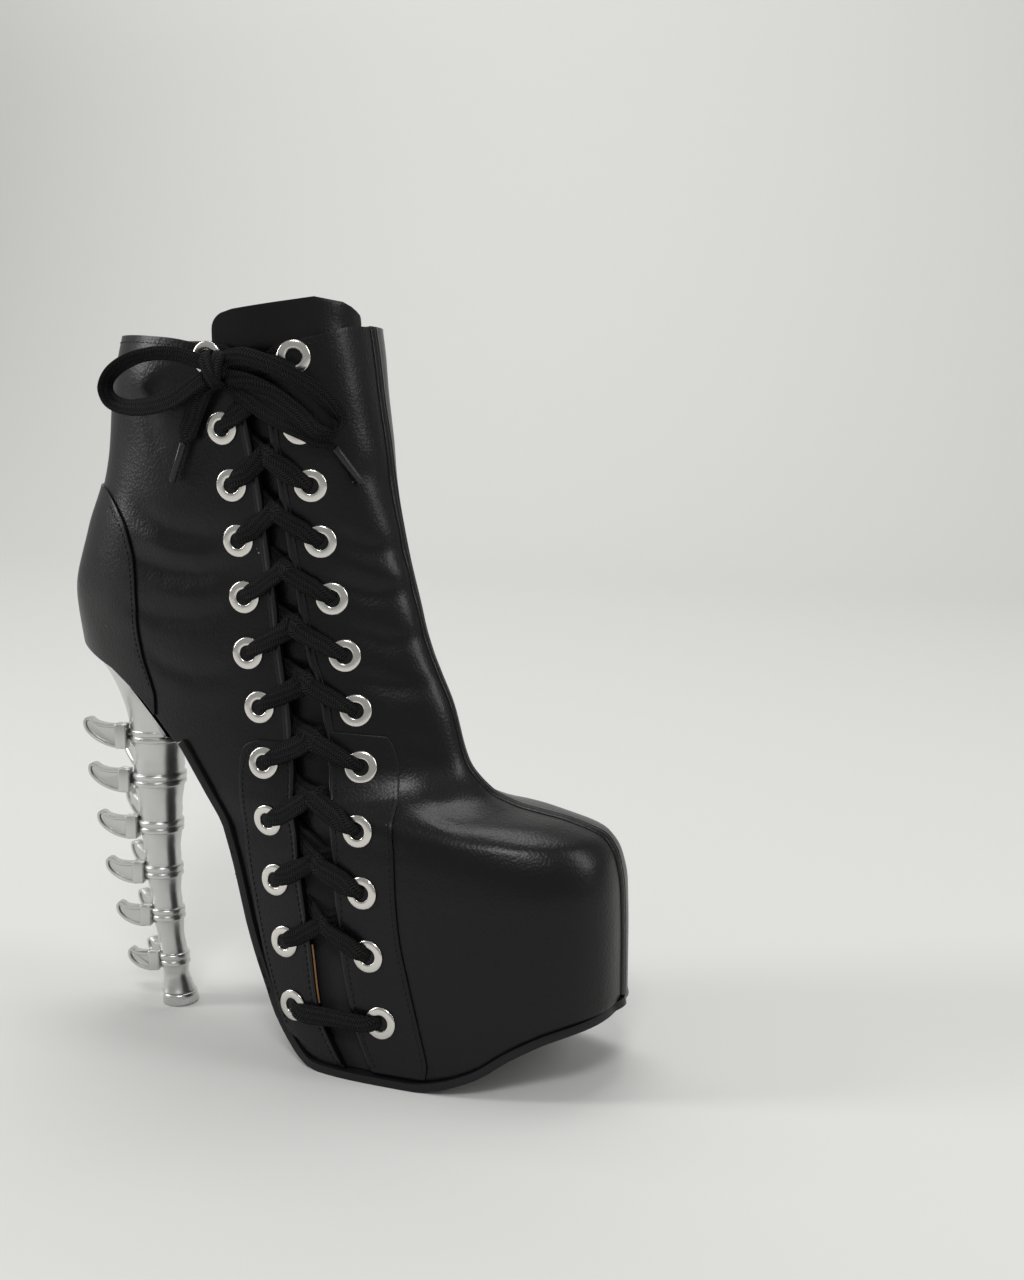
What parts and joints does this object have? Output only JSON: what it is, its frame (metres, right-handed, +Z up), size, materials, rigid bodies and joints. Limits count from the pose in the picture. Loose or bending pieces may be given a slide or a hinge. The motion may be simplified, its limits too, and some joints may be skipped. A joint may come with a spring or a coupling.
{
  "type": "heeled boot",
  "caption": "High-heeled platform ankle boot in black leather, laced at its outer side, zipped at its inner side, with a spurred metal heel.",
  "frame": {"origin": "the flat spot of the outsole under the ball of the foot, on the floor", "axes": "+X towards the toe, +Y towards the inner side of the foot, +Z up"},
  "size_m": [0.2405, 0.0896, 0.295],
  "materials": {
    "leather": "smooth semi-gloss black leather",
    "tongue_leather": "smooth black leather with a stitched edge",
    "covering": "black covering leather over the platform",
    "outsole": "satin black rubber",
    "lining": "matt black lining",
    "heel_metal": "satin silver plating",
    "eyelet_metal": "polished nickel",
    "lace_cotton": "flat woven black cotton",
    "aglet": "clear film over the black lace",
    "zip_fabric": "black woven tape with a nylon coil",
    "zip_metal": "polished nickel"
  },
  "bodies": {
    "boot": {"upper": "leather", "outsole": "outsole", "platform": "covering", "insole": "lining", "tongue": "tongue_leather", "heel": "heel_metal", "heel_tip": "outsole", "eyelet_back_01": "eyelet_metal", "eyelet_front_01": "eyelet_metal", "eyelet_back_02": "eyelet_metal", "eyelet_front_02": "eyelet_metal", "eyelet_back_03": "eyelet_metal", "eyelet_front_03": "eyelet_metal", "eyelet_back_04": "eyelet_metal", "eyelet_front_04": "eyelet_metal", "eyelet_back_05": "eyelet_metal", "eyelet_front_05": "eyelet_metal", "eyelet_back_06": "eyelet_metal", "eyelet_front_06": "eyelet_metal", "eyelet_back_07": "eyelet_metal", "eyelet_front_07": "eyelet_metal", "eyelet_back_08": "eyelet_metal", "eyelet_front_08": "eyelet_metal", "eyelet_back_09": "eyelet_metal", "eyelet_front_09": "eyelet_metal", "eyelet_back_10": "eyelet_metal", "eyelet_front_10": "eyelet_metal", "eyelet_back_11": "eyelet_metal", "eyelet_front_11": "eyelet_metal", "eyelet_back_12": "eyelet_metal", "eyelet_front_12": "eyelet_metal", "lace_row_02": "lace_cotton", "lace_row_03": "lace_cotton", "lace_row_04": "lace_cotton", "lace_row_05": "lace_cotton", "lace_row_06": "lace_cotton", "lace_row_07": "lace_cotton", "lace_row_08": "lace_cotton", "lace_row_09": "lace_cotton", "lace_row_10": "lace_cotton", "lace_row_11": "lace_cotton", "lace_row_12": "lace_cotton", "lace_knot": "lace_cotton", "lace_loop_back": "lace_cotton", "lace_loop_front": "lace_cotton", "lace_end_back": "lace_cotton", "lace_end_front": "lace_cotton", "aglet_back": "aglet", "aglet_front": "aglet", "zip_tape": "zip_fabric", "zip_slider": "zip_metal"},
    "pull": {"zip_pull": "zip_metal"}
  },
  "joints": [
    {"name": "zip_pull_hinge", "type": "hinge", "parent": "boot", "child": "pull", "pos_m": [-0.09368, 0.04047, 0.26566], "axis": [0.996, 0.0871, -0.0204], "range_deg": [0, 150]}
  ]
}
